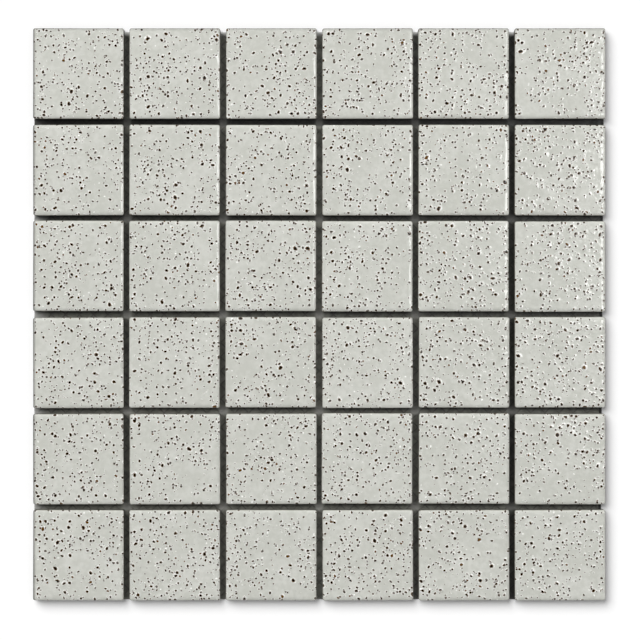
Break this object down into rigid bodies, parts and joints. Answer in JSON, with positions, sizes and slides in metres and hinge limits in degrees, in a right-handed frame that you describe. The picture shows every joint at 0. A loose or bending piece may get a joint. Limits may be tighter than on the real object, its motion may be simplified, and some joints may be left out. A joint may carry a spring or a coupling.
{
  "type": "mosaic tile sheet",
  "caption": "Sheet of speckled glazed ceramic mosaic squares set in an even grid on a thin net backing, with open joints for grout.",
  "frame": {"origin": "under the middle of the sheet, in the plane of its back, which lies on the floor or is bonded to the wall", "axes": "+X right and +Y up as one looks down on the glazed faces, +Z out of the glazed faces"},
  "size_m": [0.3032, 0.3032, 0.0066],
  "materials": {
    "glazed_tile": "gloss",
    "net_strand": "matte",
    "adhesive_film": "matte"
  },
  "bodies": {
    "root": {"backing_film": "adhesive_film", "net_strands_lower": "net_strand", "net_strands_upper": "net_strand", "tile_r1_c1": "glazed_tile", "tile_r1_c2": "glazed_tile", "tile_r1_c3": "glazed_tile", "tile_r1_c4": "glazed_tile", "tile_r1_c5": "glazed_tile", "tile_r1_c6": "glazed_tile", "tile_r2_c1": "glazed_tile", "tile_r2_c2": "glazed_tile", "tile_r2_c3": "glazed_tile", "tile_r2_c4": "glazed_tile", "tile_r2_c5": "glazed_tile", "tile_r2_c6": "glazed_tile", "tile_r3_c1": "glazed_tile", "tile_r3_c2": "glazed_tile", "tile_r3_c3": "glazed_tile", "tile_r3_c4": "glazed_tile", "tile_r3_c5": "glazed_tile", "tile_r3_c6": "glazed_tile", "tile_r4_c1": "glazed_tile", "tile_r4_c2": "glazed_tile", "tile_r4_c3": "glazed_tile", "tile_r4_c4": "glazed_tile", "tile_r4_c5": "glazed_tile", "tile_r4_c6": "glazed_tile", "tile_r5_c1": "glazed_tile", "tile_r5_c2": "glazed_tile", "tile_r5_c3": "glazed_tile", "tile_r5_c4": "glazed_tile", "tile_r5_c5": "glazed_tile", "tile_r5_c6": "glazed_tile", "tile_r6_c1": "glazed_tile", "tile_r6_c2": "glazed_tile", "tile_r6_c3": "glazed_tile", "tile_r6_c4": "glazed_tile", "tile_r6_c5": "glazed_tile", "tile_r6_c6": "glazed_tile"}
  },
  "joints": []
}
